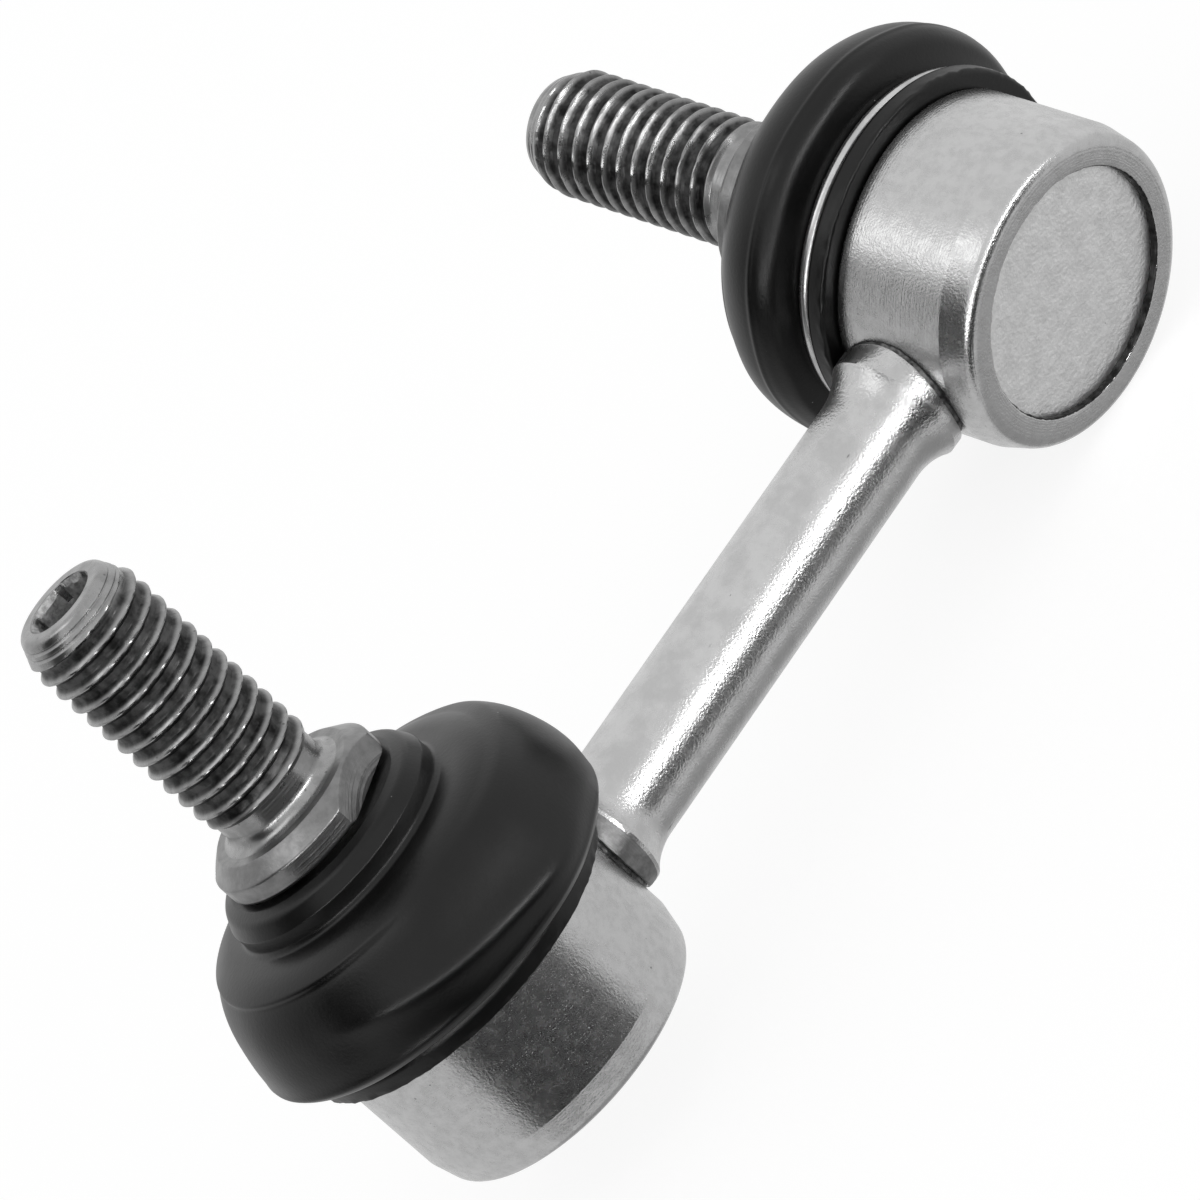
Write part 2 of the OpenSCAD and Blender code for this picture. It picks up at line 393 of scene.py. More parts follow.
class Surface:
    """A material in the making, with the patterns that steel and moulded surfaces share."""

    def __init__(self, name: str, place: JointPlace | None, constants: dict[str, float]) -> None:
        """Starts the material.

        Args:
            name: Name of the finish.
            place: The joint whose axis the patterns follow, or None for the bar's own axis.
            constants: Value of each input of the shader that is the same all over.
        """
        suffix = place.end.value if place else "bar"
        self.material = bpy.data.materials.new(f"{name}_{suffix}")
        self.material.use_nodes = True
        self.tree = self.material.node_tree
        self.shader = self.tree.nodes["Principled BSDF"]
        for socket, value in constants.items():
            self.shader.inputs[socket].default_value = value
        where = self.add("ShaderNodeTexCoord")
        mapped: dict = {"Vector": (where, "Object")}
        if place:
            mapped |= {"Location": place.shift, "Rotation": (place.turn, 0, 0)}
        self.local: Output = (self.add("ShaderNodeMapping", mapped), "Vector")

    def add(self, kind: str, inputs: dict | None = None, **settings: object) -> bpy.types.Node:
        """Adds a node to the material's tree."""
        return add_node(self.tree, kind, inputs, **settings)

    def clouds(
        self, size_mm: float, rough: float, band: Point2, shades: tuple[str, str], gloss: Point2
    ) -> tuple[Output, Output, Output]:
        """Adds soft clouds that shade the colour and the gloss.

        Args:
            size_mm: Size of the clouds.
            rough: Share of fine detail in them.
            band: Cloud values at which the first shade ends and the second is full.
            shades: The two colours.
            gloss: Roughness in the thin and in the thick of the clouds.

        Returns:
            The clouds, the colour and the roughness.
        """
        pattern = {"Vector": self.local, "Scale": 1 / (size_mm * MM), "Detail": 6.0, "Roughness": rough}
        value = (self.add("ShaderNodeTexNoise", pattern), "Fac")
        share = self.add(
            "ShaderNodeMapRange",
            {"Value": value, "From Min": band[0], "From Max": band[1]},
            interpolation_type="SMOOTHSTEP",
        )
        first, second = shades
        mixed = {0: (share, 0), 6: linear(first), 7: linear(second)}
        colour = self.add("ShaderNodeMix", mixed, data_type="RGBA")
        polish = self.add(
            "ShaderNodeMapRange",
            {"Value": value, "From Min": 0.3, "From Max": 0.7, "To Min": gloss[0], "To Max": gloss[1]},
        )
        return value, (colour, 2), (polish, 0)

    def spots(self, colour: Output, spots: Spots) -> Output:
        """Scatters spots of random sizes over a colour.

        Args:
            colour: The colour below them.
            spots: What they are like.

        Returns:
            The spotted colour.
        """
        stretch = (1 / spots.stretch, 1.0, 1.0)
        drawn = self.add("ShaderNodeVectorMath", {0: self.local, 1: stretch}, operation="MULTIPLY")
        cells = self.add(
            "ShaderNodeTexVoronoi",
            {"Vector": (drawn, 0), "Scale": 1 / (spots.spacing_mm * MM), "Randomness": 1.0},
        )
        reach = self.add(
            "ShaderNodeMath",
            {0: (cells, "Color"), 1: spots.size_mm / spots.spacing_mm},
            operation="MULTIPLY",
        )
        spot = self.add(
            "ShaderNodeMapRange",
            {"Value": (cells, "Distance"), "From Max": (reach, 0), "To Min": spots.strength, "To Max": 0.0},
            interpolation_type=spots.fade,
        )
        mixed = {0: (spot, 0), 6: colour, 7: linear(spots.shade)}
        return self.add("ShaderNodeMix", mixed, data_type="RGBA"), 2

    def grain(self, size_mm: float, depth_mm: float, detail: float, rough: float) -> Output:
        """Adds the bumps of a fine grain.

        Args:
            size_mm: Size of the grain.
            depth_mm: Its depth.
            detail: Number of finer layers in it.
            rough: Share of the finer layers.

        Returns:
            The bumped normal.
        """
        pattern = {"Vector": self.local, "Scale": 1 / (size_mm * MM), "Detail": detail, "Roughness": rough}
        height = (self.add("ShaderNodeTexNoise", pattern), "Fac")
        bumps = {"Strength": 1.0, "Distance": depth_mm * MM, "Height": height}
        return self.add("ShaderNodeBump", bumps), "Normal"

    def finished(self, colour: Output, gloss: Output, normal: Output) -> bpy.types.Material:
        """Links the patterns to the shader and hands over the material.

        Args:
            colour: The base colour.
            gloss: The roughness.
            normal: The bumped normal.

        Returns:
            The material.
        """
        patterns = {"Base Color": colour, "Roughness": gloss, "Normal": normal}
        for socket, (source, output) in patterns.items():
            self.tree.links.new(source.outputs[output], self.shader.inputs[socket])
        return self.material


# Dark of a pit in steel.
PIT = "#3a3a3a"


@dataclass(frozen=True)
class SteelFinish:
    """A steel surface: its shades, gloss, lay lines, mottle, grain and pits."""

    name: str
    light: str
    dark: str
    gloss: Point2
    lay: Lay = Lay.NONE
    lay_mm: float = 0.2
    lay_depth_mm: float = 0.003
    mottle_mm: float = 3.5
    grain_mm: float = 0.24
    grain_depth_mm: float = 0.010
    pits: Spots = Spots(PIT, 1.6, 0.16)
    # Colour of a thread's valleys: oil, and painted shade deep in them.
    groove: str | None = None
    oil_dulls: float = 0.55

    def material(self, place: JointPlace | None) -> bpy.types.Material:
        """Builds the material.

        Args:
            place: The joint whose axis the lay lines go round, or None for the bar's own axis.

        Returns:
            The material, with its pattern in the piece's own place.
        """
        surface = Surface(self.name, place, {"Metallic": 1.0})
        shades = (self.dark, self.light)
        gloss = (self.gloss[1], self.gloss[0])
        mottle, plate, polish = surface.clouds(self.mottle_mm, 0.62, (0.34, 0.64), shades, gloss)
        colour = surface.spots(plate, self.pits)
        if self.groove:
            colour, polish = self.oil_and_painted_shade(surface, mottle, colour, polish)
        return surface.finished(colour, polish, self.relief(surface))

    def oil_and_painted_shade(
        self, surface: Surface, mottle: Output, colour: Output, polish: Output
    ) -> tuple[Output, Output]:
        """Darkens and dulls the valleys of a thread, where oil has stayed.

        Args:
            surface: The material in the making.
            mottle: The clouds that thin the dark of the valleys.
            colour: The steel's colour.
            polish: The steel's roughness.

        Returns:
            The colour and the roughness, with the valleys darkened and dulled.
        """
        valley = (surface.add("ShaderNodeAttribute", attribute_name="groove"), "Fac")
        dull = surface.add("ShaderNodeMath", {0: valley, 1: self.oil_dulls}, operation="MULTIPLY")
        dulled = surface.add("ShaderNodeMath", {0: polish, 1: (dull, 0)}, operation="MAXIMUM")
        film = surface.add(
            "ShaderNodeMapRange",
            {"Value": mottle, "From Min": 0.36, "From Max": 0.6, "To Min": 0.98, "To Max": 0.72},
        )
        share = surface.add(
            "ShaderNodeMapRange",
            {"Value": valley, "From Min": 0.1, "From Max": 0.75, "To Max": (film, 0)},
            interpolation_type="SMOOTHSTEP",
        )
        # Painted shade and oil: the deeper a point lies in a valley, the more it takes the groove colour.
        mixed = {0: (share, 0), 6: colour, 7: linear(self.groove)}
        oiled_and_shaded = surface.add("ShaderNodeMix", mixed, data_type="RGBA")
        return (oiled_and_shaded, 2), (dulled, 0)

    def relief(self, surface: Surface) -> Output:
        """Adds the bumps of the grain and of the lay lines.

        Args:
            surface: The material in the making.

        Returns:
            The bumped normal.
        """
        normal = surface.grain(self.grain_mm, self.grain_depth_mm, detail=2.0, rough=0.55)
        if self.lay is Lay.NONE:
            return normal
        pattern: dict = {"Scale": 1 / (self.lay_mm * MM), "Detail": 2.0}
        if self.lay is Lay.ROUND:
            level = {0: surface.local, 1: (1.0, 1.0, 0.0)}
            flat = surface.add("ShaderNodeVectorMath", level, operation="MULTIPLY")
            radius = surface.add("ShaderNodeVectorMath", {0: (flat, 0)}, operation="LENGTH")
            parts = surface.add("ShaderNodeSeparateXYZ", {0: surface.local})
            reach = {0: (radius, "Value"), 1: (parts, "Z")}
            pattern["W"] = (surface.add("ShaderNodeMath", reach, operation="ADD"), 0)
            lines = surface.add("ShaderNodeTexNoise", pattern, noise_dimensions="1D")
        else:
            stretch = (0.02, 1.0, 1.0) if self.lay is Lay.ALONG else (1.0, 0.04, 0.04)
            drawn = {0: surface.local, 1: stretch}
            pattern["Vector"] = (surface.add("ShaderNodeVectorMath", drawn, operation="MULTIPLY"), 0)
            lines = surface.add("ShaderNodeTexNoise", pattern)
        depth = self.lay_depth_mm * MM
        bumps = {"Strength": 1.0, "Distance": depth, "Height": (lines, "Fac"), "Normal": normal}
        return surface.add("ShaderNodeBump", bumps), "Normal"


@dataclass(frozen=True)
class MouldedFinish:
    """A moulded rubber or plastic surface, with its grain, bloom and dust."""

    name: str
    base: str
    bloom: str
    dust: Spots
    gloss: Point2
    ior: float
    specular: float
    grain_mm: float
    grain_depth_mm: float
    bloom_mm: float = 6.0

    def material(self, place: JointPlace) -> bpy.types.Material:
        """Builds the material.

        Args:
            place: The joint whose piece it dresses.

        Returns:
            The material.
        """
        surface = Surface(self.name, place, {"IOR": self.ior, "Specular IOR Level": self.specular})
        shades = (self.base, self.bloom)
        _, plain, polish = surface.clouds(self.bloom_mm, 0.6, (0.4, 0.72), shades, self.gloss)
        colour = surface.spots(plain, self.dust)
        normal = surface.grain(self.grain_mm, self.grain_depth_mm, detail=3.0, rough=0.6)
        return surface.finished(colour, polish, normal)


# Zinc plate over a turned barrel: satin, with faint rings left by the lathe.
TURNED_ZINC = SteelFinish(
    "zinc_plated_turned_steel",
    "#c0c0c0",
    "#b6b6b6",
    (0.23, 0.29),
    Lay.ROUND,
    lay_mm=0.16,
    lay_depth_mm=0.009,
    mottle_mm=0.9,
    grain_mm=0.2,
    grain_depth_mm=0.022,
)

# Zinc plate over a drawn bar: the same grey, with a coarser grain, faint draw lines and short nicks.
DRAWN_ZINC = SteelFinish(
    "zinc_plated_drawn_steel",
    "#c4c4c4",
    "#b6b6b6",
    (0.24, 0.31),
    Lay.ALONG,
    lay_mm=0.35,
    mottle_mm=2.4,
    grain_mm=0.2,
    grain_depth_mm=0.035,
    pits=Spots(PIT, 1.5, 0.2, stretch=3.0),
)

# Zinc plate over a stamped disc: matt, evenly mottled, with no lay.
STAMPED_ZINC = SteelFinish(
    "zinc_plated_stamped_steel",
    "#ececec",
    "#dedede",
    (0.4, 0.5),
    mottle_mm=1.6,
    grain_mm=0.4,
    grain_depth_mm=0.06,
    pits=Spots(PIT, 1.6, 0.12),
)

# Rolled and turned stud steel, thinly plated: bright crests, and dark oil with painted shade in the
# thread's valleys.
ROLLED_STEEL = SteelFinish(
    "thin_plated_rolled_steel",
    "#989898",
    "#868686",
    (0.24, 0.32),
    Lay.ROUND,
    lay_mm=0.25,
    lay_depth_mm=0.012,
    mottle_mm=1.4,
    grain_depth_mm=0.007,
    pits=Spots(PIT, 0.9, 0.22),
    groove="#1a1a1a",
)

# Collar of the stud, faced on a lathe and handled since: dull grey, with turned rings.
FACED_STEEL = SteelFinish(
    "thin_plated_faced_steel",
    "#848484",
    "#767676",
    (0.28, 0.38),
    Lay.ROUND,
    lay_mm=0.3,
    lay_depth_mm=0.02,
    mottle_mm=1.2,
    grain_depth_mm=0.015,
)

# Walls of the broached key socket: torn and dull, where no plate reached.
BROACHED_STEEL = SteelFinish(
    "broached_steel", "#c0c0c0", "#8c8c8c", (0.5, 0.65), mottle_mm=0.5, grain_mm=0.15, grain_depth_mm=0.03
)

# Edge of a foot, scorched by the weld beside it: dull and dark, with dark pits.
SCORCHED_STEEL = SteelFinish(
    "scorched_plated_steel",
    "#888888",
    "#747474",
    (0.4, 0.5),
    Lay.ACROSS,
    lay_mm=0.12,
    lay_depth_mm=0.02,
    mottle_mm=0.6,
    pits=Spots(PIT, 0.9, 0.16),
)

# Weld metal as it cooled: dull and sooty, with lighter spots.
WELD_METAL = SteelFinish(
    "sooty_weld_steel",
    "#6c6c6c",
    "#343434",
    (0.4, 0.55),
    mottle_mm=0.6,
    grain_mm=0.3,
    grain_depth_mm=0.025,
    pits=Spots(PIT, 0.8, 0.3),
)

# Painted shade: dark steel in the crevice between the crimped rim and the cap, where its shadow falls.
CREVICE_SHADE_STEEL = SteelFinish("painted_shade_crevice_steel", "#3c3c3c", "#1c1c1c", (0.4, 0.55), mottle_mm=0.8)

# Drawn spring wire: bright and smooth.
SPRING_WIRE = SteelFinish("bright_drawn_spring_steel", "#c8c8c8", "#a8a8a8", (0.24, 0.34))

# Pressed ring inside the rubber: plain phosphated steel.
PRESSED_STEEL = SteelFinish("phosphated_pressed_steel", "#8a8a8a", "#6c6c6c", (0.4, 0.55))

# Moulded rubber: near black, satin where it was pressed against the mould, with grey bloom and dust.
MOULDED_RUBBER = MouldedFinish(
    "moulded_black_rubber",
    "#070707",
    "#0e0e0e",
    Spots("#b4b4b4", 2.4, 0.11, strength=1.0, fade="LINEAR"),
    (0.3, 0.38),
    ior=1.5,
    specular=0.3,
    grain_mm=0.3,
    grain_depth_mm=0.014,
)

# Moulded acetal: ivory, smooth and slightly waxy.
MOULDED_ACETAL = MouldedFinish(
    "moulded_acetal",
    "#e6e2d4",
    "#dcd7c6",
    Spots("#d6d1c0", 2.4, 0.11, strength=1.0, fade="LINEAR"),
    (0.3, 0.4),
    ior=1.48,
    specular=0.5,
    grain_mm=0.5,
    grain_depth_mm=0.004,
)


class RolledThread:
    """The Geometry Nodes tree that rolls a thread into the shank of a stud."""

    def __init__(self) -> None:
        """Makes the tree's inputs and nodes."""
        self.tree = bpy.data.node_groups.new("rolled_thread", "GeometryNodeTree")
        self.sockets: dict[str, str] = {}
        face = self.tree.interface
        face.new_socket("Geometry", in_out="INPUT", socket_type="NodeSocketGeometry")
        for name in ("Pitch", "Depth", "Crest radius", "Start", "Run-out", "Wear", "Socket radius"):
            made = face.new_socket(name, in_out="INPUT", socket_type="NodeSocketFloat")
            self.sockets[name] = made.identifier
        made = face.new_socket("Material", in_out="INPUT", socket_type="NodeSocketMaterial")
        self.sockets["Material"] = made.identifier
        face.new_socket("Geometry", in_out="OUTPUT", socket_type="NodeSocketGeometry")
        self.build()

    def build(self) -> None:
        """Adds the nodes that move the shank's points and store how deep each lies in a groove."""
        tree = self.tree
        rule = "ShaderNodeMath"
        given = add_node(tree, "NodeGroupInput")
        spot = add_node(tree, "GeometryNodeInputPosition")
        parts = add_node(tree, "ShaderNodeSeparateXYZ", {0: (spot, 0)})
        x, y, z = (parts, "X"), (parts, "Y"), (parts, "Z")
        angle = add_node(tree, rule, {0: y, 1: x}, operation="ARCTAN2")
        turns = add_node(tree, rule, {0: (angle, 0), 1: 2 * math.pi}, operation="DIVIDE")
        level = add_node(tree, rule, {0: z, 1: (given, "Pitch")}, operation="DIVIDE")
        phase = add_node(tree, rule, {0: (level, 0), 1: (turns, 0)}, operation="SUBTRACT")
        part = add_node(tree, rule, {0: (phase, 0)}, operation="FRACT")
        centred = add_node(tree, rule, {0: (part, 0), 1: 0.5}, operation="SUBTRACT")
        from_root = add_node(tree, rule, {0: (centred, 0)}, operation="ABSOLUTE")
        flank = add_node(
            tree, "ShaderNodeMapRange", {"Value": (from_root, 0), "From Min": 0.46, "From Max": 0.2}
        )
        low = add_node(tree, rule, {0: (given, "Start"), 1: (given, "Run-out")}, operation="SUBTRACT")
        high = add_node(tree, rule, {0: (given, "Start"), 1: (given, "Run-out")}, operation="ADD")
        fade = add_node(
            tree,
            "ShaderNodeMapRange",
            {"Value": z, "From Min": (low, 0), "From Max": (high, 0)},
            interpolation_type="SMOOTHSTEP",
        )
        groove = add_node(tree, rule, {0: (flank, 0), 1: (fade, 0)}, operation="MULTIPLY")
        ripple = add_node(tree, "ShaderNodeTexNoise", {"Vector": (spot, 0), "Scale": 500.0, "Detail": 2.0})
        even = add_node(tree, rule, {0: (ripple, "Fac"), 1: 0.5}, operation="SUBTRACT")
        worn = add_node(tree, rule, {0: (even, 0), 1: (given, "Wear")}, operation="MULTIPLY")
        sunk = add_node(tree, rule, {0: (groove, 0), 1: (given, "Depth")}, operation="MULTIPLY")
        crest = add_node(tree, rule, {0: (given, "Crest radius"), 1: (worn, 0)}, operation="ADD")
        rolled = add_node(tree, rule, {0: (crest, 0), 1: (sunk, 0)}, operation="SUBTRACT")
        flat = add_node(tree, "ShaderNodeCombineXYZ", {0: x, 1: y})
        radius = add_node(tree, "ShaderNodeVectorMath", {0: (flat, 0)}, operation="LENGTH")
        least = add_node(tree, rule, {0: (radius, "Value"), 1: (rolled, 0)}, operation="MINIMUM")
        share = add_node(tree, rule, {0: (least, 0), 1: (radius, "Value")}, operation="DIVIDE")
        inward = add_node(
            tree, "ShaderNodeVectorMath", {0: (flat, 0), "Scale": (share, 0)}, operation="SCALE"
        )
        lift = add_node(tree, "ShaderNodeCombineXYZ", {2: z})
        moved = add_node(tree, "ShaderNodeVectorMath", {0: (inward, 0), 1: (lift, 0)}, operation="ADD")
        above = add_node(tree, rule, {0: z, 1: (low, 0)}, operation="GREATER_THAN")
        outside = add_node(
            tree, rule, {0: (radius, "Value"), 1: (given, "Socket radius")}, operation="GREATER_THAN"
        )
        chosen = add_node(tree, rule, {0: (above, 0), 1: (outside, 0)}, operation="MULTIPLY")
        cut = add_node(tree, rule, {0: (radius, "Value"), 1: (least, 0)}, operation="SUBTRACT")
        deep = add_node(tree, rule, {0: (cut, 0), 1: (given, "Depth")}, operation="DIVIDE")
        marked = add_node(tree, rule, {0: (deep, 0), 1: (chosen, 0)}, operation="MULTIPLY")
        stored = add_node(
            tree,
            "GeometryNodeStoreNamedAttribute",
            {"Name": "groove", "Geometry": (given, "Geometry"), "Value": (marked, 0)},
            data_type="FLOAT",
            domain="POINT",
        )
        placed = add_node(
            tree,
            "GeometryNodeSetPosition",
            {"Geometry": (stored, 0), "Selection": (chosen, 0), "Position": (moved, 0)},
        )
        plain = add_node(tree, "GeometryNodeRealizeInstances", {0: (placed, 0)})
        dressed = add_node(
            tree, "GeometryNodeSetMaterial", {"Geometry": (plain, 0), "Material": (given, "Material")}
        )
        add_node(tree, "NodeGroupOutput", {0: (dressed, 0)})

    def roll(self, blank: bpy.types.Object, inputs: dict[str, object]) -> bpy.types.Mesh:
        """Rolls the thread into a blank.

        Args:
            blank: The stud before rolling, at the lower end.
            inputs: Value of each named input of the tree.

        Returns:
            A plain mesh of the rolled stud.
        """
        modifier = blank.modifiers.new("rolled_thread", "NODES")
        modifier.node_group = self.tree
        for name, value in inputs.items():
            modifier[self.sockets[name]] = value
        seen = blank.evaluated_get(bpy.context.evaluated_depsgraph_get())
        mesh = bpy.data.meshes.new_from_object(seen)
        blank.modifiers.remove(modifier)
        return mesh


@dataclass(frozen=True)
class Ring:
    """A level section of the stud: a circle, trimmed where it has flats."""

    radius: float
    height: float
    flats: float = 0.0
    count: int = 6
    turn: float = 30.0
    burr: float = 0.0
    burr_r: float = 2.4
    burr_scale: float = 1.3

    def loop(self, sides: int) -> Loop:
        """The section's points, or one point where its radius is nothing.

        Args:
            sides: Number of points round the section.

        Returns:
            The points, in millimetres.
        """
        if self.radius <= 0:
            return [Vector((0, 0, self.height))]
        return [self.point(2 * math.pi * k / sides) for k in range(sides)]

    def point(self, angle: float) -> Vector:
        """The section's point at an angle about the stud's axis.

        Args:
            angle: The angle, in radians.

        Returns:
            The point, in millimetres.
        """
        reach = self.radius
        if self.flats:
            step = 2 * math.pi / self.count
            off = (angle - math.radians(self.turn) + step / 2) % step - step / 2
            reach = min(reach, self.flats / max(math.cos(off), 0.01))
        if self.burr:
            spot = Vector((self.burr_r * math.cos(angle), self.burr_r * math.sin(angle), self.height))
            reach += self.burr * noise.fractal(spot * self.burr_scale, 0.9, 2.0, 3)
        return Vector((reach * math.cos(angle), reach * math.sin(angle), self.height))


@dataclass
class BallStud:
    """One-piece ball stud, in millimetres above its seat face."""

    place: JointPlace
    ball_h: float
    tip_h: float
    ball_r: float = 7.0
    neck_r: float = 4.3
    journal_r: float = 5.5
    journal_l: float = 4.0
    taper_l: float = 2.4
    collar_r: float = 7.6
    collar_flats: float = 6.5
    flats_turn: float = 120.0
    collar_h: float = 2.75
    collar_bevel: float = 1.1
    collar_edge: float = 0.3
    seat_face_r: float = 6.3
    shank_r: float = 4.6
    shank_fillet: float = 1.0
    fillet_land: float = 0.2
    thread_r: float = 5.0
    thread_start: float = 2.65
    pitch: float = 1.5
    thread_depth: float = 0.5
    tip_r: float = 3.9
    tip_taper: float = 2.4
    nose_round: float = 0.6
    nose_lines: Point2 = (1.25, 0.75)
    nose_line: float = 0.14
    key_flats: float = 2.5
    key_depth: float = 4.5
    key_corner_r: float = 2.75
    key_bevel: float = 0.55
    key_lip: float = 0.1
    key_burr: float = 0.08
    torn_rings: int = 8
    torn_step: float = 0.3
    key_point: float = 0.8
    run_out: float = 0.7
    wear: float = 0.008
    sides: int = 228

    def sections(self) -> list[Ring]:
        """The stud's level sections, from the foot of the ball to the floor of the key socket."""
        return self.ball() + self.collar() + self.shaft() + self.key()

    def ball(self) -> list[Ring]:
        """The sections of the ball, its neck and the journal.

        Returns:
            The sections, upwards.
        """
        rings = [Ring(0, self.ball_h - self.ball_r)]
        top = math.acos(self.neck_r / self.ball_r)
        steps = 26
        for k in range(1, steps + 1):
            a = -math.pi / 2 + (top + math.pi / 2) * k / steps
            rings.append(Ring(self.ball_r * math.cos(a), self.ball_h + self.ball_r * math.sin(a)))
        low = -self.collar_h
        neck = rounded(
            [
                (self.neck_r, self.ball_h + self.ball_r * math.sin(top), 0),
                (self.neck_r, low - self.journal_l - self.taper_l, 1.2),
                (self.journal_r, low - self.journal_l, 0.8),
                (self.journal_r, low, 0),
            ]
        )
        return rings + [Ring(r, h) for r, h in finer(neck, 0.6)[1:]]

    def collar(self) -> list[Ring]:
        """The sections of the flatted collar, from the journal up to the shank's fillet.

        Returns:
            The sections, upwards.
        """
        low = -self.collar_h
        outline = rounded(
            [
                (self.journal_r, low, 0),
                (self.collar_r, low, self.collar_edge),
                (self.collar_r, -self.collar_bevel, 0.25),
                (self.seat_face_r, 0, 0.15),
                (self.root_r(), 0, 0),
            ],
            steps=4,
        )
        return [
            Ring(r, h, self.collar_flats, 2, self.flats_turn) for r, h in finer(outline, 0.12)[1:-1]
        ]

    def root_r(self) -> float:
        """Radius at which the collar's sections end and the shank's begin."""
        return self.shank_r + self.shank_fillet + self.fillet_land

    def shaft(self) -> list[Ring]:
        """The sections of the shank and the thread's blank, up to the rim of the key socket.

        Returns:
            The sections, upwards.
        """
        chamfer = self.thread_r - self.shank_r
        outline = rounded(
            [
                (self.root_r(), 0, 0),
                (self.shank_r, 0, self.shank_fillet),
                (self.shank_r, self.thread_start - chamfer, 0.1),
                (self.thread_r, self.thread_start, 0),
                (self.thread_r, self.tip_h - self.tip_taper, 0.3),
                *self.nose(),
                (self.tip_r, self.tip_h, self.nose_round),
                (self.key_corner_r + 2 * self.key_lip, self.tip_h, 0),
            ]
        )
        return [Ring(r, h) for r, h in finer(outline, self.pitch / 15)]

    def nose(self) -> list[Corner]:
        """The fine lines that the lathe left round the stud's tapered nose.

        Returns:
            The corners of their outline, upwards.
        """
        lean = (self.thread_r - self.tip_r) / self.tip_taper
        half = self.nose_line
        corners = []
        for depth in self.nose_lines:
            for step, cut in ((half, 0.0), (0.0, half), (-half, 0.0)):
                below = depth + step
                corners.append((self.tip_r + lean * below - cut, self.tip_h - below, 0.05))
        return corners

    def key(self) -> list[Ring]:
        """The sections of the key socket, whose walls the broach left torn near the rim.

        Returns:
            The sections, downwards.
        """
        corner = self.key_corner_r
        rim = self.tip_h - self.key_bevel
        floor = self.tip_h - self.key_depth
        torn = []
        for k in range(self.torn_rings):
            burr = self.key_burr * (1 - k / self.torn_rings)
            torn.append(Ring(corner, rim - self.torn_step * k, self.key_flats, burr=burr))
        return [
            Ring(corner + self.key_lip, self.tip_h),
            Ring(corner + self.key_lip / 2, self.tip_h - 0.8 * self.key_lip),
            *torn,
            Ring(corner, floor, self.key_flats),
            Ring(corner * 0.96, floor - 0.05, self.key_flats),
            Ring(0, floor - self.key_point),
        ]

    def dress_socket_and_collar(self, mesh: bpy.types.Mesh) -> None:
        """Gives the walls of the key socket and the collar their own steel.

        Args:
            mesh: The rolled stud, at the lower end.
        """
        mesh.materials.append(BROACHED_STEEL.material(self.place))
        mesh.materials.append(FACED_STEEL.material(self.place))
        slack = 0.1
        point = self.tip_h - self.key_depth - 1
        for face in mesh.polygons:
            x, y, z = face.center / MM
            radius = math.hypot(x, y)
            if radius < self.key_corner_r and point < z < self.tip_h - slack:
                face.material_index = 1
            if radius > self.journal_r and -self.collar_h - slack < z < slack:
                face.material_index = 2

    def build(self, thread: RolledThread) -> bpy.types.Object:
        """Builds the stud and rolls its thread.

        Args:
            thread: The tree that rolls threads.

        Returns:
            The stud, riding its own body.
        """
        name = self.place.node("rolled_ball_stud")
        loops = [ring.loop(self.sides) for ring in self.sections()]
        blank = skin("stud_blank", loops, Matrix.Identity(4), ring=False, crease=STUD_CREASE)
        mesh = thread.roll(
            blank,
            {
                "Pitch": self.pitch * MM,
                "Depth": self.thread_depth * MM,
                "Crest radius": self.thread_r * MM,
                "Start": self.thread_start * MM,
                "Run-out": self.run_out * self.pitch * MM,
                "Wear": self.wear * MM,
                "Socket radius": (self.key_corner_r + 1.5 * self.key_lip) * MM,
                "Material": ROLLED_STEEL.material(self.place),
            },
        )
        bpy.data.objects.remove(blank)
        self.dress_socket_and_collar(mesh)
        mesh.transform(self.place.matrix)
        smooth(mesh, STUD_CREASE)
        made = put(name, mesh)
        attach(made, self.place.node("stud_body"))
        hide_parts(self.place.node("ball_stud"))
        return made


@dataclass(frozen=True)
class Seating:
    """How a boot sits: how round its fold and dome are, and how they are pressed out of true."""

    fold_r: float
    dome_round: float
    parting_h: float
    drop: float = 0.0
    tilt: float = 0.0
    lift: float = 0.0
    shift: float = 0.0
    squeeze: float = 0.0
    crease: float = 0.0


# The lower boot is pressed down on its lip, and the upper one hangs free above its wire.
SEATINGS = {
    End.LOWER: Seating(
        fold_r=1.2, dome_round=5.85, parting_h=3.7, drop=1.7, tilt=0.6, shift=0.6, crease=0.8
    ),
    End.UPPER: Seating(fold_r=2.0, dome_round=5.0, parting_h=5.5, lift=1.2, squeeze=0.025),
}


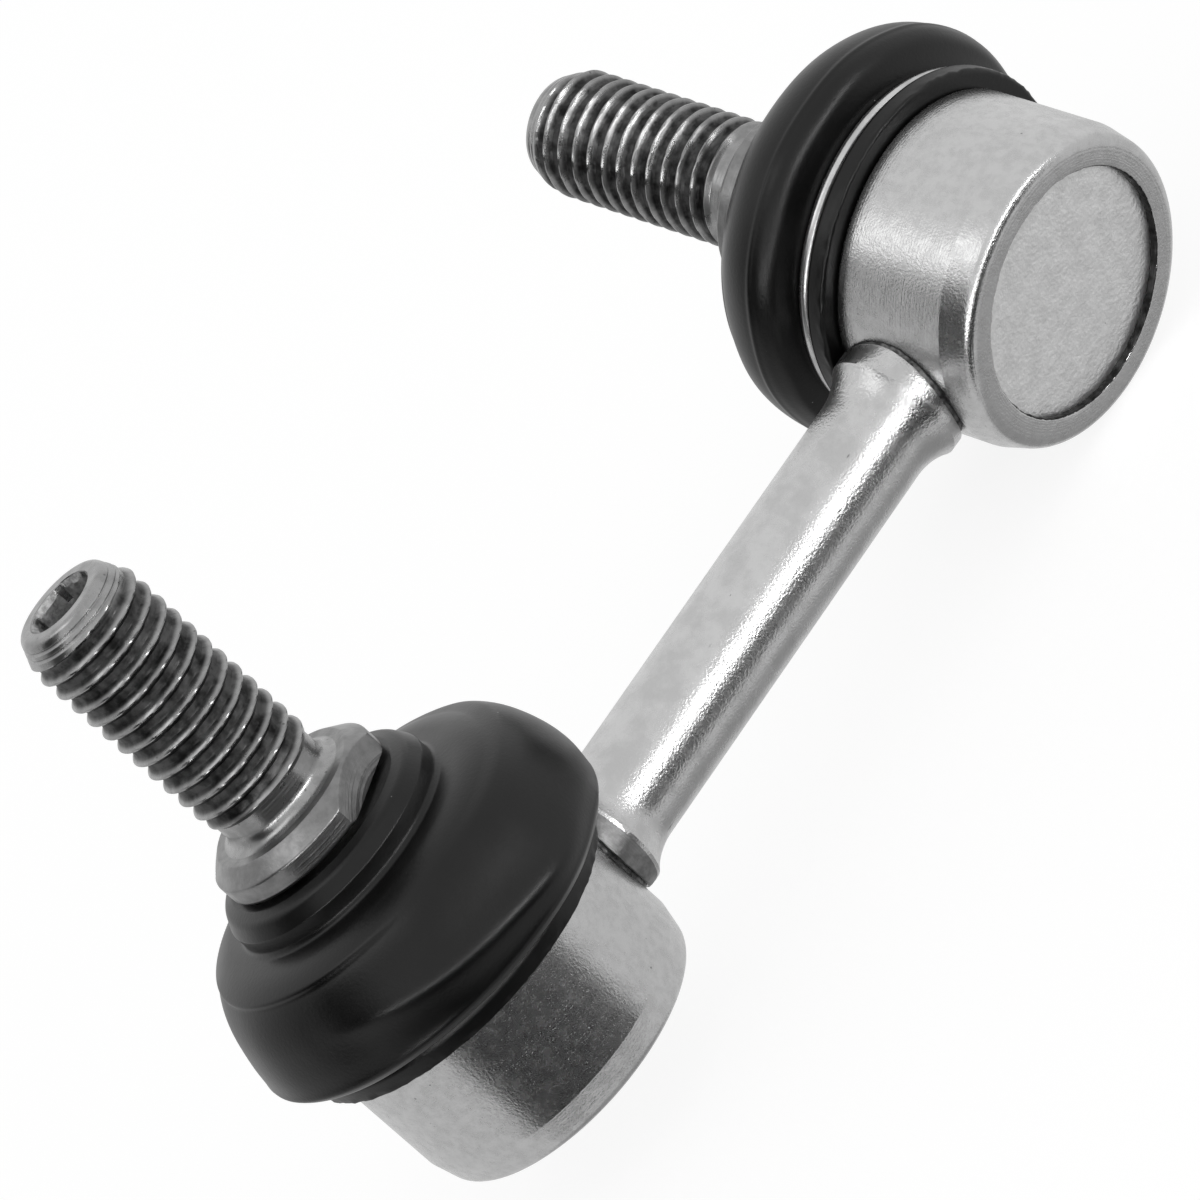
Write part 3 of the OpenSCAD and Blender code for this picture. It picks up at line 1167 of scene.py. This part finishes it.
@dataclass
class Boot:
    """Moulded rubber boot, in millimetres above the housing's shoulder."""

    place: JointPlace
    base_h: float
    top_h: float
    dome_r: float
    seating: Seating
    bore_r: float = 11.3
    lip_r: float = 13.85
    lip_h: float = 1.8
    groove_r: float = 12.95
    fold_h: float = 2.9
    dome_h: float = 10.1
    neck_foot_h: float = 11.0
    neck_flare: float = 0.5
    neck_low: float = 12.1
    neck_r: float = 9.5
    neck_bore_r: float = 5.55
    neck_room_r: float = 10.0
    room_taper: float = 1.8
    room_edge: float = 0.3
    wall: float = 1.6
    seam_h: float = 8.2
    # How far below the seam the span of the boot's base ends.
    seam_sink: float = 0.9
    crease_r: float = 1.0
    crease_w: float = 1.1
    crease_h: float = 6.0
    crease_mid: float = -128.0
    crease_slope: float = 0.05
    crease_start: Point2 = (-158.0, -126.0)
    crease_end: Point2 = (-80.0, -48.0)
    crease_band: Point2 = (5.0, 3.0)
    parting_w: float = 0.22
    parting_rise: float = 0.08
    base_gap: float = 0.05
    neck_edge: float = 0.35
    neck_taper: float = 0.6
    neck_bevel: float = 1.6
    hang_r: Point2 = (13.0, 14.6)
    hang_h: float = 5.0
    swell_h: float = 4.5
    swell_end_h: float = 9.5
    pull_h: Point2 = (2.0, 7.0)
    flash_r: Point2 = (13.0, 13.6)
    flash_h: Point2 = (0.3, 0.9)
    lump: float = 0.16
    lump_scale: float = 0.16
    flash: float = 0.12
    flash_scale: float = 1.9
    sag: float = 0.12
    sag_scale: float = 0.11

    def outer(self) -> list[Point2]:
        """The outside of the rubber, from the base lip up to the neck's bore.

        Returns:
            The outline, upwards.
        """
        high = self.top_h - self.base_h
        corners = [
            (self.bore_r, self.base_gap, 0),
            (self.lip_r, self.base_gap, 0.3),
            (self.lip_r, self.lip_h, 0.55),
            (self.groove_r, self.lip_h, 0.15),
            (self.groove_r, self.fold_h, 0.2),
            (self.dome_r, self.fold_h + self.seating.lift, self.seating.fold_r),
            (self.dome_r, self.dome_h, self.seating.dome_round),
            (self.neck_r, self.neck_foot_h, self.neck_flare),
            (self.neck_r, self.neck_low + self.neck_edge, 0.3),
            (self.neck_r - self.neck_taper, high - self.neck_edge, 0.8),
            (self.neck_r - self.neck_bevel, high, 0.6),
            (self.neck_bore_r, high, 0),
        ]
        points = finer(rounded(corners, steps=12), 0.16)
        return [(r + self.parting(r, h), h) for r, h in points]

    def parting(self, radius: float, height: float) -> float:
        """Rise of the mould's parting line round the widest ring.

        Args:
            radius: Radius of a point of the outline.
            height: Its height above the shoulder.

        Returns:
            How far the rubber stands out there, in millimetres.
        """
        if radius < self.dome_r - self.seating.fold_r:
            return 0.0
        off = (height - self.seating.parting_h) / self.parting_w
        return self.parting_rise * math.exp(-off * off)

    def inner(self) -> list[Point2]:
        """The inside of the rubber, from the neck's bore down to the base.

        Returns:
            The outline, downwards.
        """
        high = self.top_h - self.base_h
        corners = [
            (self.neck_bore_r, high, 0),
            (self.neck_bore_r, self.neck_low + self.room_edge, 0.2),
            (self.neck_room_r - self.room_taper, self.neck_foot_h - self.room_edge, 0.5),
            (self.neck_room_r, self.dome_h - self.wall, 0.5),
            (self.dome_r - self.wall, self.dome_h - self.wall, self.seating.dome_round - self.wall),
            (self.dome_r - self.wall, self.fold_h + self.wall, 0.6),
            (self.bore_r, self.fold_h + self.wall, 0.3),
            (self.bore_r, self.base_gap, 0),
        ]
        return finer(rounded(corners, steps=8), 0.6)

    def shape(self, point: Vector) -> Vector:
        """Settles the fold on its lip, and gives the rubber its unevenness.

        Args:
            point: A point of the turned boot.

        Returns:
            The moved point.
        """
        height = point.z - self.base_h
        radius = math.hypot(point.x, point.y)
        outward = Vector((point.x, point.y, 0)) / radius
        below_top = 1 - ease(height, self.swell_end_h, self.dome_h)
        hangs = ease(radius, *self.hang_r) * (1 - ease(height, self.hang_h, self.dome_h))
        swells = ease(height, self.fold_h, self.swell_h) * below_top
        ragged = ease(radius, *self.flash_r) * (1 - ease(height, *self.flash_h))
        lump = self.lump * swells * noise.noise(point * self.lump_scale)
        flash = self.flash * ragged * noise.noise(point * self.flash_scale)
        tilt = self.seating.tilt * point.x / radius
        sag = self.sag * noise.noise(point * self.sag_scale)
        drop = hangs * (self.seating.drop + tilt + sag)
        pulled = ease(height, *self.pull_h) * below_top
        along = pulled * self.seating.shift - swells * self.seating.squeeze * point.x
        crease = self.crease(math.degrees(math.atan2(point.y, point.x)), height - drop)
        stands = crease * ease(radius, *(self.dome_r - inset for inset in self.crease_band))
        return point + outward * (lump + flash + stands) + Vector((along, 0, -drop))

    def crease(self, angle: float, height: float) -> float:
        """How far the fold stands out at the crease that runs slantwise round its front.

        Args:
            angle: Angle about the stud's axis, in degrees.
            height: Height above the shoulder, in millimetres.

        Returns:
            The rise, in millimetres.
        """
        wide = ease(angle, *self.crease_start) * (1 - ease(angle, *self.crease_end))
        off = height - (self.crease_h - self.crease_slope * (angle - self.crease_mid))
        fall = math.hypot(off, self.crease_r) - self.crease_r
        return self.seating.crease * wide * math.exp(-fall / self.crease_w)

    def halves(self) -> tuple[list[Point2], list[Point2]]:
        """The closed outlines of the boot's base and of its top, which meet half way up the dome.

        Returns:
            The outline of the base and that of the top.
        """
        outside = self.split(self.outer())
        inside = self.split(self.inner())
        return outside[0] + inside[1], outside[1] + inside[0][1:]

    def split(self, points: list[Point2]) -> tuple[list[Point2], list[Point2]]:
        """Cuts a wall of the boot at the seam's height.

        Args:
            points: The wall's outline, which crosses that height once.

        Returns:
            The part before the seam and the part after it, both with the point on the seam.
        """
        for i in range(1, len(points)):
            (ar, ah), (br, bh) = points[i - 1], points[i]
            if (ah - self.seam_h) * (bh - self.seam_h) <= 0:
                share = (self.seam_h - ah) / (bh - ah)
                cut = (ar + (br - ar) * share, self.seam_h)
                return points[:i] + [cut], [cut] + points[i:]
        raise ValueError("the outline doesn't cross the seam")

    def at(self, height: float) -> Vector:
        """A point of the stud's axis, at a height above the shoulder, in the frame."""
        return self.place.matrix @ Vector((0, 0, (self.base_h + height) * MM))

    def build(self) -> list[bpy.types.Object]:
        """Builds the boot's base and top.

        Returns:
            The two pieces.
        """
        material = MOULDED_RUBBER.material(self.place)
        link, middle, neck = "link", self.place.node("boot_body"), self.place.node("neck_body")
        spans = [
            ("boot_base", link, middle, self.fold_h, self.seam_h - self.seam_sink),
            ("boot_top", middle, neck, self.seam_h, self.neck_low),
        ]
        pieces = []
        for (name, before, after, start, end), outline in zip(spans, self.halves()):
            raised = [(r, self.base_h + h) for r, h in outline]
            made = lathe(self.place.node(name), raised, self.place, self.shape)
            dress(made, material)
            self.at(start)
            self.at(end)
            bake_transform(made)
            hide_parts(self.place.node("boot"))
            pieces.append(made)
        return pieces


@dataclass
class Housing:
    """Turned housing with a crimped rear rim, in millimetres above that rim."""

    place: JointPlace
    rim_h: float
    front_h: float
    barrel_r: float
    spigot_h: float = 3.8
    spigot_r: float = 11.25
    bore_r: float = 10.05
    crimp_r: float = 9.55
    crimp_h: float = 0.6
    crimp_burr: float = 0.09
    burr_scale: float = 0.9
    burr_h: Point2 = (0.4, 0.8)
    rim_r: float = 11.85
    bevel_h: float = 2.65
    mouth_r: float = 7.95
    shoulder_h: float = 1.7

    def outline(self) -> list[Point2]:
        """The housing's closed outline.

        Returns:
            The outline, from the crimp's inside up the barrel and down the bore.
        """
        high = self.front_h - self.rim_h
        barrel = high - self.spigot_h
        inside = high - self.shoulder_h
        corners = [
            (self.bore_r, self.crimp_h, 0),
            (self.crimp_r, self.crimp_h, 0.05),
            (self.crimp_r, 0, 0.2),
            (self.rim_r, 0, 0.95),
            (self.barrel_r, self.bevel_h, 0.4),
            (self.barrel_r, barrel, 0.35),
            (self.spigot_r, barrel, 0.1),
            (self.spigot_r, high, 0.3),
            (self.mouth_r, high, 0.1),
            (self.mouth_r, inside, 0.1),
            (self.bore_r, inside, 0),
        ]
        return [(r, self.rim_h + h) for r, h in finer(rounded(corners), 0.5)]

    def shape(self, point: Vector) -> Vector:
        """Leaves the crimped rim's inner edge uneven.

        Args:
            point: A point of the turned housing.

        Returns:
            The moved point.
        """
        height = point.z - self.rim_h
        radius = math.hypot(point.x, point.y)
        outward = Vector((point.x, point.y, 0)) / radius
        near_cap = 1 - ease(radius, self.crimp_r + 0.1, self.bore_r + 0.4)
        pressed = near_cap * (1 - ease(height, *self.burr_h))
        burr = self.crimp_burr * noise.fractal(point * self.burr_scale, 0.8, 2.0, 4)
        return point + outward * (pressed * burr)

    def build(self) -> bpy.types.Object:
        """Builds the housing on the link.

        Returns:
            The housing.
        """
        made = lathe(self.place.node("turned_housing"), self.outline(), self.place, self.shape, sides=256)
        dress(made, TURNED_ZINC.material(self.place), CREVICE_SHADE_STEEL.material(self.place))
        inverse = self.place.matrix.inverted()
        # Faces round the crimp's inner edge take the dark crevice steel, which paints the shade in the
        # crevice by the cap.
        for face in made.data.polygons:
            spot = inverse @ face.center / MM
            height = spot.z - self.rim_h
            radius = math.hypot(spot.x, spot.y)
            if radius < self.crimp_r + 0.1 or (0.2 < height <= self.crimp_h and radius < self.bore_r):
                face.material_index = 1 if height < self.bevel_h else 0
        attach(made, "link")
        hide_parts(self.place.node("housing"))
        return made


@dataclass
class LinkRod:
    """Drawn bar with a flared, saddle-shaped foot at each end, and the weld under each foot."""

    places: dict[End, JointPlace]
    span: float
    axis_h: float
    shoulder_h: float
    barrel_r: float
    bar_r: float = 4.3
    foot_r: float = 5.3
    flare_r: float = 5.5
    foot_edge: float = 0.65
    seam_h: float = 0.6
    seam_step: float = 0.3
    gap: float = 0.3
    sides: int = 200
    # Height over the barrel and swell of each loop of a weld bead, and its roughness.
    bead: tuple[Point2, ...] = (
        (-0.15, -0.5), (0.0, 0.06), (0.15, 0.0), (0.35, -0.06), (0.6, -0.04), (0.7, -0.5)
    )
    bead_rough: float = 0.1

    def saddle(self, across: float, radius: float) -> float:
        """Reach of a barrel of some radius along the bar, at a distance across it."""
        return math.sqrt(radius * radius - across * across)

    def foot_loop(self, radius: float, reach: float, barrel: float, rough: float) -> Loop:
        """One loop of a foot, drawn at the lower end.

        Args:
            radius: Radius of the loop about the bar's axis.
            reach: Least distance of the loop from the joint's axis.
            barrel: Radius of the barrel that the loop stays outside of.
            rough: Height of the loop's unevenness.

        Returns:
            The loop, flat on the side of the boot.
        """
        flat = self.shoulder_h - self.axis_h
        loop = []
        for k in range(self.sides):
            a = 2 * math.pi * k / self.sides
            seed = Vector((2.2 * math.cos(a), 2.2 * math.sin(a), 0.7 * (reach + barrel)))
            wide = radius + rough * noise.fractal(seed * 1.7, 1.0, 2.0, 4)
            y = wide * math.cos(a)
            z = min(wide * math.sin(a), flat)
            x = max(reach, self.saddle(y, barrel))
            loop.append(Vector((x, y, z)))
        return loop

    def base(self) -> list[Loop]:
        """The loops of a foot's saddle face, from its middle to its edge.

        Returns:
            The loops.
        """
        under = self.barrel_r + self.gap
        loops = [[Vector((under, 0, 0))]]
        loops += [self.foot_loop(self.foot_r * s, 0, under, 0) for s in (0.3, 0.6, 0.9)]
        loops.append(self.foot_loop(self.foot_r - 0.2, 0, under, 0.06))
        return loops

    def edge(self) -> list[Loop]:
        """The loops of a foot's straight edge.

        Returns:
            The loops.
        """
        under = self.barrel_r + self.gap
        start = self.barrel_r + self.seam_h + self.foot_edge
        return [
            self.foot_loop(self.foot_r - 0.04, 0, under + 0.12, 0.05),
            self.foot_loop(self.foot_r, 0, under + 0.3, 0.05),
            self.foot_loop(self.foot_r, start - 0.3, under + 0.6, 0.03),
        ]

    def flare(self) -> list[Loop]:
        """The loops of a foot's flare, down to the plain bar.

        Returns:
            The loops.
        """
        under = self.barrel_r + self.seam_h
        sweep = math.acos(1 - (self.foot_r - self.bar_r) / self.flare_r)
        end = under + self.foot_edge + self.flare_r * math.sin(sweep)
        steps = 16
        loops = []
        for k in range(steps + 1):
            a = sweep * (1 - k / steps)
            radius = self.bar_r + self.flare_r * (1 - math.cos(a))
            reach = end - self.flare_r * math.sin(a)
            loops.append(self.foot_loop(radius, reach, under + 0.6, 0.02 * (1 - k / steps)))
        return loops

    def upper(self, loop: Loop) -> Loop:
        """Carries a loop of the lower foot to the upper end, where it faces the other way.

        Args:
            loop: A loop of the lower foot.

        Returns:
            The loop at the upper end, whose points line up with the lower one's.
        """
        turn = self.places[End.UPPER].turn
        count = len(loop)
        made = []
        for x, y, z in loop:
            across = y * math.cos(turn) + z * math.sin(turn)
            up = -y * math.sin(turn) + z * math.cos(turn)
            made.append(Vector((self.span - x, across, up)))
        shift = round(turn / (2 * math.pi) * count)
        return [made[(k + shift) % count] for k in range(count)]

    def raised(self, loops: list[Loop]) -> list[Loop]:
        """Lifts loops from the bar's axis to its place in the frame."""
        lift = Vector((0, 0, self.axis_h))
        return [[p + lift for p in loop] for loop in loops]

    def build(self) -> list[bpy.types.Object]:
        """Builds the bar and the weld under each foot.

        Returns:
            The bar and the two welds.
        """
        base, edge, flare = self.base(), self.edge(), self.flare()
        foot = base + edge + flare
        loops = foot + [self.upper(loop) for loop in reversed(foot)]
        bar = skin("drawn_bar", self.raised(loops), Matrix.Identity(4), ring=False, crease=BAR_CREASE)
        dress(bar, DRAWN_ZINC.material(None), SCORCHED_STEEL.material(None))
        scorched = range(len(base) - 1, len(base) + len(edge) - 1)
        for row in scorched:
            for face in bar.data.polygons[row * self.sides : (row + 1) * self.sides]:
                face.material_index = 1
        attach(bar, "link")
        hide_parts("link_rod")
        return [bar] + [self.weld(end) for end in End]

    def weld(self, end: End) -> bpy.types.Object:
        """Builds the weld between one housing and its foot.

        Args:
            end: Which end of the link.

        Returns:
            The weld.
        """
        seam_r = self.foot_r - self.seam_step
        lowest, highest = self.bead[0][0], self.bead[-1][0]
        loops = [[Vector((self.barrel_r + lowest, 0, 0))]]
        for high, swell in self.bead:
            loops.append(self.foot_loop(seam_r + swell, 0, self.barrel_r + high, self.bead_rough))
        loops.append([Vector((self.barrel_r + highest, 0, 0))])
        if end is End.UPPER:
            loops = [self.upper(loop) for loop in reversed(loops)]
        place = self.places[end]
        name = place.node("weld_bead")
        made = skin(name, self.raised(loops), Matrix.Identity(4), ring=False, crease=WELD_CREASE)
        dress(made, WELD_METAL.material(place))
        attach(made, "link")
        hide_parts(place.node("weld_seam"))
        return made


@dataclass
class BoughtPieces:
    """CAD nodes whose shapes are right as they stand, and the finish of each."""

    place: JointPlace
    finishes: dict[str, SteelFinish | MouldedFinish] = field(
        default_factory=lambda: {
            "end_cap": STAMPED_ZINC,
            "base_ring": SPRING_WIRE,
            "ball_seat": MOULDED_ACETAL,
            "neck_ring": PRESSED_STEEL,
        }
    )

    def build(self, nodes: dict[str, bpy.types.Object]) -> list[bpy.types.Object]:
        """Dresses the nodes.

        Args:
            nodes: The frame's objects by name.

        Returns:
            The dressed objects.
        """
        made = []
        for name, finish in self.finishes.items():
            obj = nodes[self.place.node(name)]
            dress(obj, finish.material(self.place))
            made.append(obj)
        return made


@dataclass
class Studio:
    """White studio: a pale floor, soft lamps, cards for the metal to reflect, and the camera."""

    floor_h: float
    azimuth: float = -19.49
    elevation: float = 21.22
    roll: float = -47.59
    target: Vector = field(default_factory=lambda: Vector((28.74, 5.07, -13.34)) * MM)
    distance: float = 580.6 * MM
    lens_mm: float = 240.0
    sensor_mm: float = 36.0
    lamp_far: float = 0.9
    lamp_level: float = 7.0
    room_level: float = 0.55
    floor_glow: float = 0.84

    def rotation(self) -> Matrix:
        """The camera's rotation, from its own right, up and back to the frame."""
        level = Euler((math.radians(90 - self.elevation), 0, math.radians(self.azimuth)), "XYZ")
        return level.to_matrix() @ Matrix.Rotation(math.radians(self.roll), 3, "Z")

    def camera(self) -> None:
        """Sets up the photograph's camera."""
        data = bpy.data.cameras.new("camera")
        data.lens = self.lens_mm
        data.sensor_width = self.sensor_mm
        data.clip_start = 0.01
        data.clip_end = 20.0
        made = put("camera", data)
        turned = self.rotation()
        place = self.target + turned @ Vector((0, 0, self.distance))
        made.matrix_world = Matrix.Translation(place) @ turned.to_4x4()
        bpy.context.scene.camera = made

    def towards(self, azimuth: float, elevation: float) -> Vector:
        """A direction from the object, by its angle from +X and its height, in degrees.

        Args:
            azimuth: The angle from +X.
            elevation: The height.

        Returns:
            The direction, of length 1.
        """
        a = math.radians(azimuth)
        e = math.radians(elevation)
        return Vector((math.cos(a) * math.cos(e), math.sin(a) * math.cos(e), math.sin(e)))

    def lamp(self, name: str, azimuth: float, elevation: float, size: Point2) -> None:
        """Hangs a soft lamp that faces the object.

        Args:
            name: Name of the lamp.
            azimuth: Angle of the lamp from +X, in degrees.
            elevation: Its height, in degrees.
            size: Its width and height, in metres.
        """
        data = bpy.data.lights.new(name, "AREA")
        data.shape = "RECTANGLE"
        data.size, data.size_y = size
        data.energy = self.lamp_level * math.pi * size[0] * size[1]
        direction = self.towards(azimuth, elevation)
        made = put(name, data)
        made.location = self.target + direction * self.lamp_far
        made.rotation_euler = direction.to_track_quat("Z", "Y").to_euler()

    def card(
        self,
        name: str,
        shade: str,
        azimuths: Point2,
        elevations: Point2,
        level: float = 1.0,
        far: float = 1.3,
    ) -> None:
        """Hangs a curved card that only the reflections see.

        Args:
            name: Name of the card.
            shade: Its colour.
            azimuths: First and last angle of the card from +X, in degrees.
            elevations: Lowest and highest angle of the card, in degrees.
            level: How bright it is, where 1 leaves its colour as it is.
            far: Its distance, in metres.
        """
        steps = 16
        points = []
        for i in range(steps + 1):
            azimuth = azimuths[0] + (azimuths[1] - azimuths[0]) * i / steps
            for j in range(steps + 1):
                elevation = elevations[0] + (elevations[1] - elevations[0]) * j / steps
                points.append(self.target + self.towards(azimuth, elevation) * far)
        row = steps + 1
        faces = []
        for i in range(steps):
            for j in range(steps):
                a = i * row + j
                faces.append((a, a + row, a + row + 1, a + 1))
        mesh = bpy.data.meshes.new(name)
        mesh.from_pydata(points, [], faces)
        made = put(name, mesh)
        material = bpy.data.materials.new(name)
        tree = emptied(material)
        glow = add_node(tree, "ShaderNodeEmission", {"Color": linear(shade), "Strength": level})
        add_node(tree, "ShaderNodeOutputMaterial", {"Surface": (glow, 0)})
        dress(made, material)
        made.visible_camera = False
        made.visible_diffuse = False
        made.visible_shadow = False
        made.visible_transmission = False
        made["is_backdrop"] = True

    def floor(self) -> None:
        """Lays a round pale floor under the object, white to the camera, with the object's shadow."""
        radius = 6.0
        sides = 96
        mesh = bpy.data.meshes.new("floor")
        spokes = [2 * math.pi * k / sides for k in range(sides)]
        rim = [Vector((radius * math.cos(a), radius * math.sin(a), self.floor_h)) for a in spokes]
        mesh.from_pydata(rim, [], [tuple(range(sides))])
        made = put("floor", mesh)
        material = bpy.data.materials.new("white_paper")
        tree = emptied(material)
        paper = add_node(tree, "ShaderNodeBsdfDiffuse", {"Color": linear("#f0f0f0")})
        shaded = add_node(tree, "ShaderNodeBsdfDiffuse", {"Color": linear("#909090")})
        white = {"Color": linear("#ffffff"), "Strength": self.floor_glow}
        glow = add_node(tree, "ShaderNodeEmission", white)
        bright = add_node(tree, "ShaderNodeAddShader", {0: (shaded, 0), 1: (glow, 0)})
        mix = add_node(
            tree, "ShaderNodeMixShader", {0: (self.seen(tree), 0), 1: (paper, 0), 2: (bright, 0)}
        )
        add_node(tree, "ShaderNodeOutputMaterial", {"Surface": (mix, 0)})
        dress(made, material)
        made.visible_glossy = False
        made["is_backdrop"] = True

    def seen(self, tree: bpy.types.NodeTree) -> bpy.types.Node:
        """Adds nodes that are 1 for camera, glossy and transmission rays, and 0 for others.

        Args:
            tree: The tree of the floor's material or of the world.

        Returns:
            The node whose first output is that share.
        """
        path = add_node(tree, "ShaderNodeLightPath")
        either = add_node(
            tree,
            "ShaderNodeMath",
            {0: (path, "Is Camera Ray"), 1: (path, "Is Glossy Ray")},
            operation="MAXIMUM",
        )
        return add_node(
            tree,
            "ShaderNodeMath",
            {0: (either, 0), 1: (path, "Is Transmission Ray")},
            operation="MAXIMUM",
        )

    def world(self) -> None:
        """Fills the room with plain light, and shows a white background."""
        world = bpy.data.worlds.new("studio")
        bpy.context.scene.world = world
        tree = emptied(world)
        plain = {"Color": linear("#ffffff"), "Strength": 1.0}
        room = add_node(tree, "ShaderNodeBackground", plain | {"Strength": self.room_level})
        white = add_node(tree, "ShaderNodeBackground", plain)
        mix = add_node(
            tree, "ShaderNodeMixShader", {0: (self.seen(tree), 0), 1: (room, 0), 2: (white, 0)}
        )
        add_node(tree, "ShaderNodeOutputWorld", {"Surface": (mix, 0)})

    def build(self) -> None:
        """Sets up the studio."""
        bpy.context.scene.view_settings.view_transform = "Standard"
        self.camera()
        self.world()
        self.floor()
        self.lamp("front_lamp", -72, 5, (0.7, 0.08))
        self.lamp("side_lamp", -148, 7, (0.2, 0.06))
        self.card("strip_card", "#ffffff", (-162, -50), (4, 8), level=10.0)
        self.card("top_card", "#ffffff", (148, 234), (56, 73), level=2.2)
        self.card("dark_low_card", "#050505", (-162, -84), (-42, -3))
        self.card("dim_low_card", "#3c3c3c", (-84, -56), (-40, -4))
        self.card("dark_side_card", "#040404", (158, 198), (-8, 48))
        self.card("grey_side_card", "#dcdcdc", (128, 158), (-3, 50))
        self.card("table_card", "#ececec", (0, 360), (-60, -3), far=1.5)
        self.card("under_card", "#b2b2b2", (0, 360), (-90, -60), far=1.5)


def main() -> None:
    """Builds the link's pieces in order and sets up the studio."""
    logging.basicConfig(level=logging.INFO, format="%(name)s: %(message)s")
    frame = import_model()
    cad_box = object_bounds()
    places = {end: JointPlace.from_record(end, frame["joints"]) for end in End}
    lower = places[End.LOWER]
    housing_low, housing_high = (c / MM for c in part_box(lower.node("housing")))
    stud_low, stud_high = (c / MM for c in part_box(lower.node("ball_stud")))
    boot_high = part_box(lower.node("boot"))[1] / MM
    axis_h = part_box("link_rod")[0].z / MM + LinkRod.foot_r
    shoulder_h = housing_high.z - Housing.spigot_h
    thread = RolledThread()
    pieces: list[bpy.types.Object] = []
    for end, place in places.items():
        housing = Housing(place, housing_low.z, housing_high.z, housing_high.x)
        stud = BallStud(place, stud_low.z + BallStud.ball_r, stud_high.z)
        boot = Boot(place, shoulder_h, boot_high.z, boot_high.x, SEATINGS[end])
        pieces += [housing.build(), stud.build(thread), *boot.build()]
        pieces += BoughtPieces(place).build(frame["nodes"])
    span = places[End.UPPER].ball.x / MM
    pieces += LinkRod(places, span, axis_h, shoulder_h, housing_high.x).build()
    for piece in pieces:
        LOG.info("%s: %d faces", piece.name, len(piece.data.polygons))
    Studio(cad_box[0].z).build()


if __name__ == "__main__":
    main()
